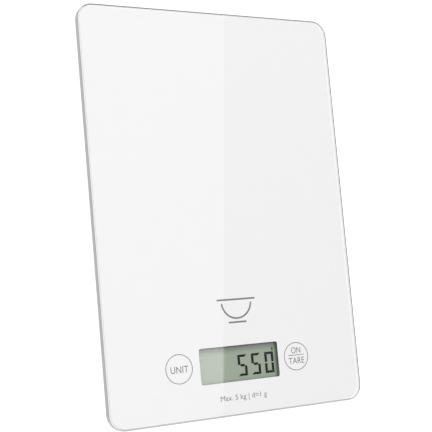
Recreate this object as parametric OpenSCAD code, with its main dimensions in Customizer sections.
// Slim glass kitchen scale that weighs on four load-cell feet.
// The scale lies flat: +Z is up out of the glass, -Y is the edge with the display, and the origin is
// on the table under the middle of the platform.

/* [Platform] */
// Width of the glass platform
platform_w = 140; // [139:1:160]
// Length of the glass platform
platform_l = 202; // [201:1:208]
// Thickness of the glass
glass_t = 4; // [3:0.5:4]
// Corner radius of the glass
platform_corner_r = 8; // [5:1:12]
// Radius ground along both edges of the glass
glass_edge_r = 0.9; // [0.4:0.1:1.4]

/* [Height] */
// Overall height from the table to the top of the glass
overall_h = 16; // [16:0.5:18]
// Gap between the table and the housing
ground_gap = 2.4; // [1.8:0.1:2.6]

/* [Display and keys] */
// Width of the clear window
window_w = 45.4; // [40:0.2:45.4]
// Length of the clear window
window_l = 18; // [14:0.5:18]
// Distance of the window and the keys to the right of the middle line
window_x = 1.4; // [0:0.1:1.4]
// Distance from the front edge of the glass to the middle of the window
window_from_edge = 25; // [25:0.1:26]
// Distance of each touch key from the middle of the window
key_x = 33.1; // [32.6:0.1:33.4]

/* [Feet] */
// Distance of each foot from the side edge of the glass
foot_inset = 27; // [26.5:0.1:27.5]
// Distance of the front feet from the middle of the scale
front_foot_y = 58; // [56:0.5:58]
// Distance of the rear feet from the middle of the scale
rear_foot_y = 72; // [66:0.5:74]
// Radius of a foot
foot_r = 9; // [8:0.1:9]
// Travel of a foot from no load to its overload stop
foot_travel = 0.5; // [0.2:0.1:0.5]

/* [Battery] */
// Distance of the coin cell from the middle of the scale, towards the display
battery_y = 36; // [30:0.5:38]
// Radius of the coin cell
cell_r = 10; // [9.8:0.1:10]
// Thickness of the coin cell
cell_t = 3.2; // [2:0.1:3.2]

/* [Hidden] */
$fn = 64;

SIDES = ["front_left", "front_right", "rear_left", "rear_right"];

// Height stack, from the glass down
glass_z = overall_h - glass_t;
film_t = 0.2;
film_bond = 0.05;
film_z = glass_z - film_bond - film_t;
tape_t = 0.5;
rim_z = film_z - tape_t;
floor_t = 1.6;
floor_z = ground_gap + floor_t;

// Housing outline: a tray with an outward flange that is taped to the glass
wall_t = 1.8;
housing_side_inset = 11;
housing_end_inset = 9;
housing_w = platform_w - 2 * housing_side_inset;
housing_l = platform_l - 2 * housing_end_inset;
housing_r = 12;
housing_edge_r = 3;
flange_side_inset = 7;
flange_end_inset = 6;
flange_w = platform_w - 2 * flange_side_inset;
flange_l = platform_l - 2 * flange_end_inset;
flange_r = 14;
flange_t = 1.6;
flange_land = 5;
rib_t = 1.2;
rib_h = 1.2;
label_w = 51;
label_l = 33;
label_y = 24;
label_t = 0.15;
label_recess = 0.25;
label_margin = 0.5;

// Sensors
cell_plate_w = 24;
cell_plate_t = 1.2;
cell_plate_r = 3;
cell_window_w = 17;
tongue_w = 5;
tongue_pad_r = 4;
stem_r = 3;
pin_r = 1.45;
pin_hole_r = 1.5;
stake_r = 2.2;
stake_t = 0.55;
post_at = 9.4;
post_r = 1.9;
screw_r = 1;
screw_head_r = 2;
screw_head_t = 1.3;
screw_hole_r = 1.1;
flange_gap = 0.1;
foot_flange_r = 10.4;
foot_flange_t = 0.9;
foot_hole_r = foot_r + 0.4;
pad_r = foot_r - 2;
pad_t = 1.6;
pad_recess = 0.4;
foot_bottom_z = pad_t - pad_recess;
load_cell_z = floor_z + flange_gap + foot_flange_t + foot_travel + 0.1;
bracket_z = load_cell_z + cell_plate_t;
bracket_cavity_h = 2.8;
bracket_seat_z = rim_z - 1.85;
foot_x = platform_w / 2 - foot_inset;
feet = [[-foot_x, -front_foot_y, 0], [foot_x, -front_foot_y, 0],
        [-foot_x, rear_foot_y, 180], [foot_x, rear_foot_y, 180]];

// Display and board
window_y = -platform_l / 2 + window_from_edge;
board_t = 1.2;
board_z = floor_z + 1.4;
board_top_z = board_z + board_t;
lcd_w = 48;
lcd_l = 22;
lcd_y = window_y + 0.2;
lcd_z = board_top_z + 1.4;
lcd_glass_t = 1.1;
polariser_t = 0.1;
lcd_t = 2 * (lcd_glass_t + polariser_t);
frame_w = lcd_w + 3;
frame_l = lcd_l + 3;
frame_open_w = window_w + 1.8;
frame_open_l = window_l + 1.9;
frame_top_z = lcd_z + lcd_t + 0.8;
board_wide_w = 82;
board_narrow_w = 60;
board_front_y = lcd_y - frame_l / 2 - 0.9;
board_step_y = -front_foot_y - cell_plate_w / 2 - 1;
board_rear_y = -58.5;
board_holes = [[-38, window_y - 9.7], [38, window_y - 9.7], [-28, window_y + 15], [28, window_y + 15]];
frame_pegs = [for (x = [-1, 1], y = [-1, 1])
    [window_x + x * (frame_w / 2 - 0.9), lcd_y + y * (frame_l / 2 - 3)]];
spring_wire = 0.6;
spring_r = 3.6;
spring_turns = 4.5;
spring_steps = 16;

// Battery compartment, where the door turns in a bayonet
door_r = 15;
door_t = 1;
door_play = 0.3;
door_ring_r = 12.3;
door_ring_inner_r = cell_r + 0.5;
lug_r = 14.2;
lug_t = 0.84;
lug_angle = 28;
lug_turns = [0, 120, 240];
lug_play = 0.3;
unlock_angle = 45;
recess_top_z = ground_gap + door_t + 0.05;
ledge_top_z = ground_gap + 2.6;
lug_z = ledge_top_z + 0.06;
lug_space_top_z = ledge_top_z + 1;
cell_z = ground_gap + door_t + 0.1;
cell_guide_r = cell_r + 0.3;
guide_top_z = 8.2;
well_top_z = 9.4;
well_r = 16.6;
contact_t = 0.3;

// Leads, where wires of one lead lie side by side
wire_d = 0.8;
wire_pitch = 1;
wire_sides = 8;
gauge_wire_z = bracket_z + 0.9;
lane_x = 27;
lane_z = floor_z + 0.5;
pad_wire_z = board_top_z + 0.45;
pad_wire_y = board_rear_y - 1.5;
tab_wire_z = well_top_z + contact_t + 0.42;
front_wire_y = 5 - front_foot_y;
rear_wire_y = rear_foot_y - 5;
// Middle wire of a front lead, on the right side of the scale
front_route = [[foot_x, front_wire_y, gauge_wire_z], [foot_x - 5, front_wire_y, gauge_wire_z],
               [foot_x - 10, front_wire_y, gauge_wire_z - 0.1],
               [foot_x - 14, front_wire_y, gauge_wire_z - 0.3],
               [25, front_wire_y - 1.5, gauge_wire_z - 0.4], [23, front_wire_y - 4, pad_wire_z + 0.15],
               [22.5, pad_wire_y, pad_wire_z]];
// Middle wire of a rear lead, on the right side of the scale
rear_route = [[foot_x, rear_wire_y, gauge_wire_z], [foot_x - 5, rear_wire_y, gauge_wire_z],
              [foot_x - 10, rear_wire_y, gauge_wire_z - 0.1],
              [foot_x - 13, rear_wire_y - 0.5, gauge_wire_z - 0.4],
              [lane_x + 1, rear_wire_y - 3, lane_z + 1.3], [lane_x, rear_wire_y - 8, lane_z + 0.1],
              [lane_x, 50, lane_z], [lane_x, 30, lane_z], [lane_x, 0, lane_z], [lane_x, -30, lane_z],
              [lane_x - 1, -44, lane_z + 0.3], [20, -50.5, lane_z + 1.7], [15.5, -55, pad_wire_z + 0.15],
              [15, pad_wire_y, pad_wire_z]];
positive_route = [[13.5, -battery_y, tab_wire_z], [14.5, -battery_y - 5, tab_wire_z + 0.08],
                  [13.5, -battery_y - 10.5, tab_wire_z], [10.5, -battery_y - 15.5, tab_wire_z - 1.52],
                  [7, -56, pad_wire_z + 0.25], [6, pad_wire_y, pad_wire_z]];
negative_route = [[-12.5, -battery_y, tab_wire_z], [-14, -battery_y - 5, tab_wire_z + 0.08],
                  [-12.5, -battery_y - 11.5, tab_wire_z], [-6, -battery_y - 17.5, tab_wire_z - 1.72],
                  [1, -57, pad_wire_z + 0.25], [3, pad_wire_y, pad_wire_z]];

// ---------------------------------------------------------------- helpers

module rounded_rect(w, l, r) {
    square([w - 2 * r, l], center = true);
    square([w, l - 2 * r], center = true);
    for (x = [-1, 1], y = [-1, 1])
        translate([x * (w / 2 - r), y * (l / 2 - r)]) circle(r);
}

module rounded_block(w, l, r, h) {
    linear_extrude(h) rounded_rect(w, l, r);
}

module rounded_ring(w, l, r, land, h) {
    linear_extrude(h) difference() {
        rounded_rect(w, l, r);
        rounded_rect(w - 2 * land, l - 2 * land, max(r - land, 0.5));
    }
}

// A rounded plate whose edge has the child's profile, drawn from the corner's centre (x = 0) to x = r
module edged_plate(w, l, r, h) {
    turns = [[1, 1, 0], [-1, 1, 90], [-1, -1, 180], [1, -1, 270]];
    for (t = turns)
        translate([t[0] * (w / 2 - r), t[1] * (l / 2 - r), 0])
            rotate([0, 0, t[2]]) rotate_extrude(angle = 90) children();
    for (a = [0, 180]) rotate([0, 0, a])
        translate([w / 2 - r, l / 2 - r, 0]) rotate([90, 0, 0]) linear_extrude(l - 2 * r) children();
    for (a = [90, 270]) rotate([0, 0, a])
        translate([l / 2 - r, w / 2 - r, 0]) rotate([90, 0, 0]) linear_extrude(w - 2 * r) children();
    translate([r - w / 2, r - l / 2, 0]) cube([w - 2 * r, l - 2 * r, h]);
}

// Edge profile with a round lower edge
module round_foot_profile(r, edge_r, h) {
    square([r - edge_r, h]);
    translate([0, edge_r]) square([r, h - edge_r]);
    translate([r - edge_r, edge_r]) circle(edge_r);
}

// Edge profile with both edges round
module round_edge_profile(r, edge_r, h) {
    square([r - edge_r, h]);
    translate([0, edge_r]) square([r, h - 2 * edge_r]);
    for (z = [edge_r, h - edge_r]) translate([r - edge_r, z]) circle(edge_r);
}

// A flat sector of a disc, centred on the given angle, from its middle out to r
module sector(r, angle, at) {
    far = 2 * r;
    intersection() {
        circle(r);
        polygon([[0, 0], far * [cos(at - angle / 2), sin(at - angle / 2)], far * [cos(at), sin(at)],
                 far * [cos(at + angle / 2), sin(at + angle / 2)]]);
    }
}

module pan_screw(length) {
    difference() {
        union() {
            cylinder(r = screw_head_r, h = screw_head_t);
            translate([0, 0, -length]) cylinder(r = screw_r, h = length + 0.2);
        }
        for (a = [0, 90]) rotate([0, 0, a])
            translate([-1.1, -0.25, screw_head_t - 0.6]) cube([2.2, 0.5, 1]);
    }
}

function unit(v) = v / norm(v);
function tangent(p, i) = unit(p[min(i + 1, len(p) - 1)] - p[max(i - 1, 0)]);
function sideways(p, i) = unit(cross(tangent(p, i), [0, 0, 1]));
function beside(p, d) = [for (i = [0:len(p) - 1]) p[i] + d * sideways(p, i)];
function mirrored(p) = [for (q = p) [-q[0], q[1], q[2]]];
function between(a, b, c, d, t) =
    0.5 * (2 * b + (c - a) * t + (2 * a - 5 * b + 4 * c - d) * t * t + (3 * b - a - 3 * c + d) * t * t * t);
function smooth(p, n) = [
    for (i = [0:len(p) - 2]) for (k = [0:n - 1])
        between(p[max(i - 1, 0)], p[i], p[i + 1], p[min(i + 2, len(p) - 1)], k / n),
    p[len(p) - 1]
];
function ring_points(p, i, r, n) = let (s = sideways(p, i), u = cross(s, tangent(p, i)))
    [for (k = [0:n - 1]) p[i] + r * (cos(360 * k / n) * s + sin(360 * k / n) * u)];

// A round tube along a path
module tube(path, d, n) {
    last = len(path) - 1;
    polyhedron(
        points = [for (i = [0:last]) each ring_points(path, i, d / 2, n)],
        faces = concat(
            [[for (k = [0:n - 1]) k]],
            [for (i = [0:last - 1], k = [0:n - 1])
                [i * n + k, (i + 1) * n + k, (i + 1) * n + (k + 1) % n, i * n + (k + 1) % n]],
            [[for (k = [n - 1:-1:0]) last * n + k]]
        )
    );
}

// ---------------------------------------------------------------- platform

module glass_platform() {
    color("azure", 0.4) translate([0, 0, glass_z])
        edged_plate(platform_w, platform_l, platform_corner_r, glass_t)
            round_edge_profile(platform_corner_r, glass_edge_r, glass_t);
}

module backing_film() {
    inset = 1;
    color("white") translate([0, 0, film_z]) linear_extrude(film_t) difference() {
        rounded_rect(platform_w - 2 * inset, platform_l - 2 * inset, platform_corner_r - inset);
        translate([window_x, window_y]) rounded_rect(window_w, window_l, 1);
    }
}

module mounting_tape() {
    color("gainsboro") translate([0, 0, rim_z]) {
        rounded_ring(flange_w, flange_l, flange_r, flange_land, tape_t);
        for (f = feet) translate([f[0], f[1], 0]) cylinder(r = 6.5, h = tape_t);
    }
}

// ---------------------------------------------------------------- housing

module housing_shell() {
    h = rim_z - ground_gap;
    difference() {
        union() {
            translate([0, 0, ground_gap])
                edged_plate(housing_w, housing_l, housing_r, h)
                    round_foot_profile(housing_r, housing_edge_r, h);
            translate([0, 0, rim_z - flange_t]) rounded_block(flange_w, flange_l, flange_r, flange_t);
        }
        translate([0, 0, floor_z])
            edged_plate(housing_w - 2 * wall_t, housing_l - 2 * wall_t, housing_r - wall_t, h)
                round_foot_profile(housing_r - wall_t, housing_edge_r - wall_t, h);
    }
}

module housing_ribs() {
    root = 0.2;
    z = floor_z - root;
    inner_x = 22;
    outer_x = 33;
    rear_y = housing_l / 2 - wall_t;
    for (s = [-1, 1])
        translate([s * inner_x - rib_t / 2, -14, z]) cube([rib_t, rear_y + 14.2, rib_h + root]);
    for (y = [-14, 12, 40, 66])
        translate([-inner_x, y, z]) cube([2 * inner_x, rib_t, rib_h + root]);
    for (s = [-1, 1], y = [-36, -14, 12, 38])
        translate([s > 0 ? outer_x : -housing_w / 2 + 1, y, z])
            cube([housing_w / 2 - outer_x - 1, rib_t, rib_h + root]);
}

// Pairs of posts that keep the rear leads in their lane
module wire_guides() {
    for (s = [-1, 1], y = [-24, 0, 24, 48], side = [-1, 1])
        translate([s * lane_x + side * 2.4, y, floor_z - 0.2]) cylinder(r = 0.6, h = 1.8);
}

module sensor_seat() {
    cylinder(r = foot_hole_r + 3, h = floor_t);
    for (a = [45, 225]) rotate([0, 0, a]) translate([post_at * sqrt(2), 0, 0])
        cylinder(r = post_r, h = load_cell_z - ground_gap);
    for (a = [135, 315]) rotate([0, 0, a]) translate([post_at * sqrt(2), 0, 0]) {
        cylinder(r = post_r, h = load_cell_z - ground_gap);
        cylinder(r = screw_r, h = bracket_z - ground_gap + 0.8);
    }
}

module sensor_seat_cuts() {
    translate([0, 0, -1]) cylinder(r = foot_hole_r, h = floor_t + 2);
    translate([0, 0, -1]) cylinder(r = foot_hole_r + 1.6, h = 1.4);
    for (a = [45, 225]) rotate([0, 0, a]) translate([post_at * sqrt(2), 0, 0.6])
        cylinder(r = screw_r, h = 8);
}

module battery_well() {
    translate([0, -battery_y, ground_gap]) cylinder(r = well_r, h = well_top_z - ground_gap);
}

module battery_well_cuts() {
    translate([0, -battery_y, 0]) {
        translate([0, 0, ground_gap - 1])
            cylinder(r = door_r + door_play, h = recess_top_z - ground_gap + 1);
        // Slots that the lugs drop through
        translate([0, 0, recess_top_z]) linear_extrude(ledge_top_z - recess_top_z) {
            circle(door_ring_r + door_play);
            for (a = lug_turns) sector(lug_r + lug_play, lug_angle + 2, a + unlock_angle);
        }
        // Channels that the lugs then turn along, each with a stop at both ends
        translate([0, 0, ledge_top_z]) linear_extrude(lug_space_top_z - ledge_top_z) {
            circle(door_ring_r + door_play);
            for (a = lug_turns)
                sector(lug_r + lug_play + 0.1, lug_angle + unlock_angle + 4, a + unlock_angle / 2);
        }
        translate([0, 0, lug_space_top_z]) cylinder(r = cell_guide_r, h = guide_top_z - lug_space_top_z);
        // Passages for the two contacts
        translate([9, -1.6, lug_space_top_z - 0.1]) cube([2.2, 3.2, 9]);
        translate([-9.3, -2.3, guide_top_z - 0.1]) cube([1, 4.6, 9]);
    }
}

module board_bosses() {
    for (p = board_holes)
        translate([p[0], p[1], floor_z - 0.2]) cylinder(r = 2.2, h = board_z - floor_z + 0.2);
}

module rear_housing() {
    color("whitesmoke") difference() {
        union() {
            housing_shell();
            housing_ribs();
            wire_guides();
            board_bosses();
            battery_well();
            for (f = feet) translate([f[0], f[1], ground_gap]) rotate([0, 0, f[2]]) sensor_seat();
        }
        battery_well_cuts();
        for (f = feet) translate([f[0], f[1], ground_gap]) rotate([0, 0, f[2]]) sensor_seat_cuts();
        for (p = board_holes) translate([p[0], p[1], ground_gap + 0.6]) cylinder(r = screw_r, h = 8);
        translate([0, label_y, ground_gap - 1])
            rounded_block(label_w + 2 * label_margin, label_l + 2 * label_margin, 2, 1 + label_recess);
    }
}

module rating_label() {
    color("silver") translate([0, label_y, ground_gap + label_recess - label_t])
        rounded_block(label_w, label_l, 1.6, label_t);
}

// ---------------------------------------------------------------- display

module lcd_panel() {
    color("darkseagreen") translate([window_x - lcd_w / 2, lcd_y - lcd_l / 2, lcd_z]) {
        translate([1, 1, 0]) cube([lcd_w - 2, lcd_l - 2, polariser_t]);
        translate([0, 0, polariser_t]) cube([lcd_w, lcd_l, lcd_glass_t]);
        translate([0, 1.4, polariser_t + lcd_glass_t]) cube([lcd_w, lcd_l - 1.4, lcd_glass_t]);
        translate([0.6, 1.8, polariser_t + 2 * lcd_glass_t]) cube([lcd_w - 1.2, lcd_l - 2.4, polariser_t]);
    }
}

module zebra_strips() {
    color("dimgray") for (s = [-1, 1])
        translate([window_x - 22, lcd_y + s * (lcd_l / 2 - 1.4) - 0.9, board_top_z])
            cube([44, 1.8, lcd_z - board_top_z]);
}

module lcd_frame() {
    color("lightgray") {
        translate([window_x, lcd_y, board_top_z]) difference() {
            rounded_block(frame_w, frame_l, 1.2, frame_top_z - board_top_z);
            translate([0, 0, -1])
                rounded_block(lcd_w + 0.4, lcd_l + 0.4, 0.2, lcd_z + lcd_t - board_top_z + 1.05);
            translate([0, window_y - lcd_y, 0]) rounded_block(frame_open_w, frame_open_l, 1.2, 10);
        }
        for (p = frame_pegs) translate([p[0], p[1], board_z - 0.3])
            cylinder(r = 0.6, h = board_t + 0.5);
    }
}

module lcd_gasket() {
    color("gray") translate([0, 0, frame_top_z]) linear_extrude(film_z - frame_top_z) difference() {
        translate([window_x, lcd_y]) rounded_rect(frame_w, frame_l, 1.2);
        translate([window_x, window_y]) rounded_rect(frame_open_w, frame_open_l, 1.2);
    }
}

// ---------------------------------------------------------------- electronics

module circuit_board() {
    color("darkgreen") difference() {
        union() {
            translate([-board_wide_w / 2, board_front_y, board_z])
                cube([board_wide_w, board_step_y - board_front_y, board_t]);
            translate([-board_narrow_w / 2, board_front_y, board_z])
                cube([board_narrow_w, board_rear_y - board_front_y, board_t]);
        }
        for (p = board_holes)
            translate([p[0], p[1], board_z - 1]) cylinder(r = screw_hole_r, h = board_t + 2);
        for (p = frame_pegs) translate([p[0], p[1], board_z - 1]) cylinder(r = 0.7, h = board_t + 2);
    }
}

// The epoxy dome over the controller, on the underside of the board
module controller_chip() {
    dome_r = 5;
    dome_h = 1;
    steps = 10;
    profile = [for (i = [0:steps]) let (a = 90 * i / steps) [dome_r * cos(a), -dome_h * sin(a)]];
    color("black") translate([8, lcd_y, board_z]) rotate_extrude() polygon(concat([[0, 0]], profile));
}

module smd_components() {
    color("tan") for (s = [-1, 1], k = [0:4])
        translate([window_x + s * (key_x - 4.9) - 0.8, window_y - 11.2 + 3.2 * k, board_top_z])
            cube([1.6, 0.9, 0.6]);
    color("black") for (x = [-12, -4])
        translate([x, -61.6, board_top_z]) cube([3, 1.4, 1]);
}

module quartz_crystal() {
    color("silver") translate([-35.5, window_y - 8.7, board_top_z]) linear_extrude(1.8) {
        square([5, 2]);
        for (x = [0, 5]) translate([x, 1]) circle(1);
    }
}

module touch_spring(x) {
    low = board_top_z + spring_wire / 2;
    high = film_z - spring_wire / 2;
    steps = spring_turns * spring_steps;
    path = [for (i = [0:steps]) let (a = 360 * i / spring_steps)
        [x + spring_r * cos(a), window_y + spring_r * sin(a), low + (high - low) * i / steps]];
    color("goldenrod") tube(path, spring_wire, wire_sides);
}

module board_screws() {
    color("silver") for (p = board_holes)
        translate([p[0], p[1], board_top_z]) pan_screw(board_top_z - ground_gap - 0.8);
}

// ---------------------------------------------------------------- battery

module coin_cell() {
    step = 0.5;
    color("silver") translate([0, -battery_y, cell_z]) {
        cylinder(r = cell_r, h = cell_t - step);
        cylinder(r = cell_r - 1.1, h = cell_t);
    }
}

module battery_door() {
    color("whitesmoke") translate([0, -battery_y, 0]) difference() {
        union() {
            translate([0, 0, ground_gap]) cylinder(r = door_r, h = door_t);
            translate([0, 0, ground_gap + door_t - 0.1]) difference() {
                cylinder(r = door_ring_r, h = lug_z + lug_t - ground_gap - door_t + 0.1);
                translate([0, 0, -1]) cylinder(r = door_ring_inner_r, h = 9);
            }
            translate([0, 0, lug_z]) linear_extrude(lug_t) difference() {
                for (a = lug_turns) sector(lug_r, lug_angle, a);
                circle(door_ring_r - 0.5);
            }
        }
        // Coin slot
        translate([0, 0, ground_gap - 1]) rounded_block(15, 2, 0.9, 1.6);
    }
}

// A strip of sheet metal bent in the XZ plane
module bent_strip(outline, w) {
    rotate([90, 0, 0]) translate([0, 0, -w / 2]) linear_extrude(w) polygon(outline);
}

module contact_positive() {
    x = cell_r + 0.02;
    t = contact_t;
    color("gold") translate([0, -battery_y, 0])
        bent_strip([[x, 4.4], [x + t, 4.4], [x + t, well_top_z], [x + 4.5, well_top_z],
                    [x + 4.5, well_top_z + t], [x, well_top_z + t]], 2.2);
}

module contact_negative() {
    t = contact_t;
    tip_z = cell_z + cell_t + 0.02;
    leg_x = -9;
    tab_x = -13.5;
    color("gold") translate([0, -battery_y, 0])
        bent_strip([[2, tip_z + 0.5], [0, tip_z], [-6, guide_top_z - t], [leg_x, guide_top_z - t],
                    [leg_x, well_top_z], [tab_x, well_top_z], [tab_x, well_top_z + t],
                    [leg_x + t, well_top_z + t], [leg_x + t, guide_top_z], [-6, guide_top_z],
                    [0, tip_z + t], [2, tip_z + t + 0.5]], 4);
}

module battery_leads() {
    color("red") tube(smooth(positive_route, 4), wire_d, wire_sides);
    color("black") tube(smooth(negative_route, 4), wire_d, wire_sides);
}

// ---------------------------------------------------------------- load cells and feet

module at_foot(i) {
    translate([feet[i][0], feet[i][1], 0]) rotate([0, 0, feet[i][2]]) children();
}

module load_cell(i) {
    color("silver") at_foot(i) translate([0, 0, load_cell_z]) linear_extrude(cell_plate_t) {
        difference() {
            rounded_rect(cell_plate_w, cell_plate_w, cell_plate_r);
            rounded_rect(cell_window_w, cell_window_w, 1.5);
            for (x = [-1, 1], y = [-1, 1]) translate([x * post_at, y * post_at]) circle(screw_hole_r);
        }
        difference() {
            union() {
                circle(tongue_pad_r);
                translate([-tongue_w / 2, 0]) square([tongue_w, cell_window_w / 2 + 0.5]);
            }
            circle(pin_hole_r);
        }
    }
}

module strain_gauges() {
    color("white") for (i = [0:3]) at_foot(i) translate([0, 6.3, bracket_z]) {
        translate([-2, -1.6, 0]) cube([4, 3.2, 0.1]);
        translate([0, 0, 0.1]) rounded_block(3.4, 2.6, 0.9, 0.35);
    }
}

module sensor_bracket(i) {
    open = cell_window_w;
    narrow = 13.2;
    color("white") at_foot(i) difference() {
        translate([0, 0, bracket_z])
            rounded_block(cell_plate_w, cell_plate_w, cell_plate_r, rim_z - bracket_z);
        translate([0, 0, bracket_z - 1]) {
            rounded_block(open, narrow, 1, bracket_cavity_h + 1);
            rounded_block(narrow, open, 1, bracket_cavity_h + 1);
        }
        // Way out for the lead, on the side towards the middle of the scale
        translate([feet[i][0] * cos(feet[i][2]) > 0 ? -cell_plate_w : 0, 3, bracket_z - 1])
            cube([cell_plate_w, 4, 2.6]);
        for (a = [45, 225]) rotate([0, 0, a]) translate([post_at * sqrt(2), 0, 0]) {
            cylinder(r = screw_hole_r, h = 20);
            translate([0, 0, bracket_seat_z]) cylinder(r = screw_head_r + 0.2, h = 9);
        }
        for (a = [135, 315]) rotate([0, 0, a]) translate([post_at * sqrt(2), 0, 0])
            cylinder(r = screw_hole_r, h = bracket_z + 1.2);
    }
}

module bracket_screws() {
    color("silver") for (i = [0:3]) at_foot(i) for (a = [45, 225]) rotate([0, 0, a])
        translate([post_at * sqrt(2), 0, bracket_seat_z]) pan_screw(bracket_seat_z - ground_gap - 0.8);
}

module foot_cap(i) {
    stake_z = bracket_z + 0.02;
    color("whitesmoke") at_foot(i) difference() {
        union() {
            translate([0, 0, foot_bottom_z]) cylinder(r = foot_r, h = floor_z - foot_bottom_z + 0.2);
            translate([0, 0, floor_z + flange_gap]) cylinder(r = foot_flange_r, h = foot_flange_t);
            translate([0, 0, floor_z]) cylinder(r = stem_r, h = load_cell_z - floor_z);
            translate([0, 0, floor_z]) cylinder(r = pin_r, h = stake_z - floor_z + 0.1);
            translate([0, 0, stake_z]) cylinder(r = stake_r, h = stake_t);
        }
        translate([0, 0, -1]) cylinder(r = pad_r, h = pad_t + 1);
        // Relief groove round the top of the cap
        translate([0, 0, floor_z - 0.4]) difference() {
            cylinder(r = foot_r - 1, h = 4);
            translate([0, 0, -1]) cylinder(r = stem_r + 1.5, h = 6);
        }
    }
}

module foot_pad(i) {
    color("dimgray") at_foot(i) difference() {
        cylinder(r = pad_r, h = pad_t);
        for (r = [2, 4]) translate([0, 0, -1]) difference() {
            cylinder(r = r + 0.4, h = 1.3);
            translate([0, 0, -1]) cylinder(r = r, h = 4);
        }
    }
}

module sensor_lead(i) {
    route = i < 2 ? front_route : rear_route;
    path = smooth(feet[i][0] > 0 ? route : mirrored(route), i < 2 ? 3 : 2);
    colours = ["red", "white", "black"];
    for (k = [0:2]) color(colours[k]) tube(beside(path, (k - 1) * wire_pitch), wire_d, wire_sides);
}

// ---------------------------------------------------------------- nodes

glass_platform();
backing_film();
mounting_tape();
rear_housing();
lcd_panel();
lcd_frame();
lcd_gasket();
zebra_strips();
circuit_board();
controller_chip();
smd_components();
quartz_crystal();
touch_spring(window_x - key_x);  // touch_spring_unit
touch_spring(window_x + key_x);  // touch_spring_tare
coin_cell();
contact_positive();
contact_negative();
battery_door();
battery_leads();
rating_label();
board_screws();
bracket_screws();
strain_gauges();
for (i = [0:3]) {
    load_cell(i);
    sensor_bracket(i);
    foot_cap(i);
    foot_pad(i);
    sensor_lead(i);
}
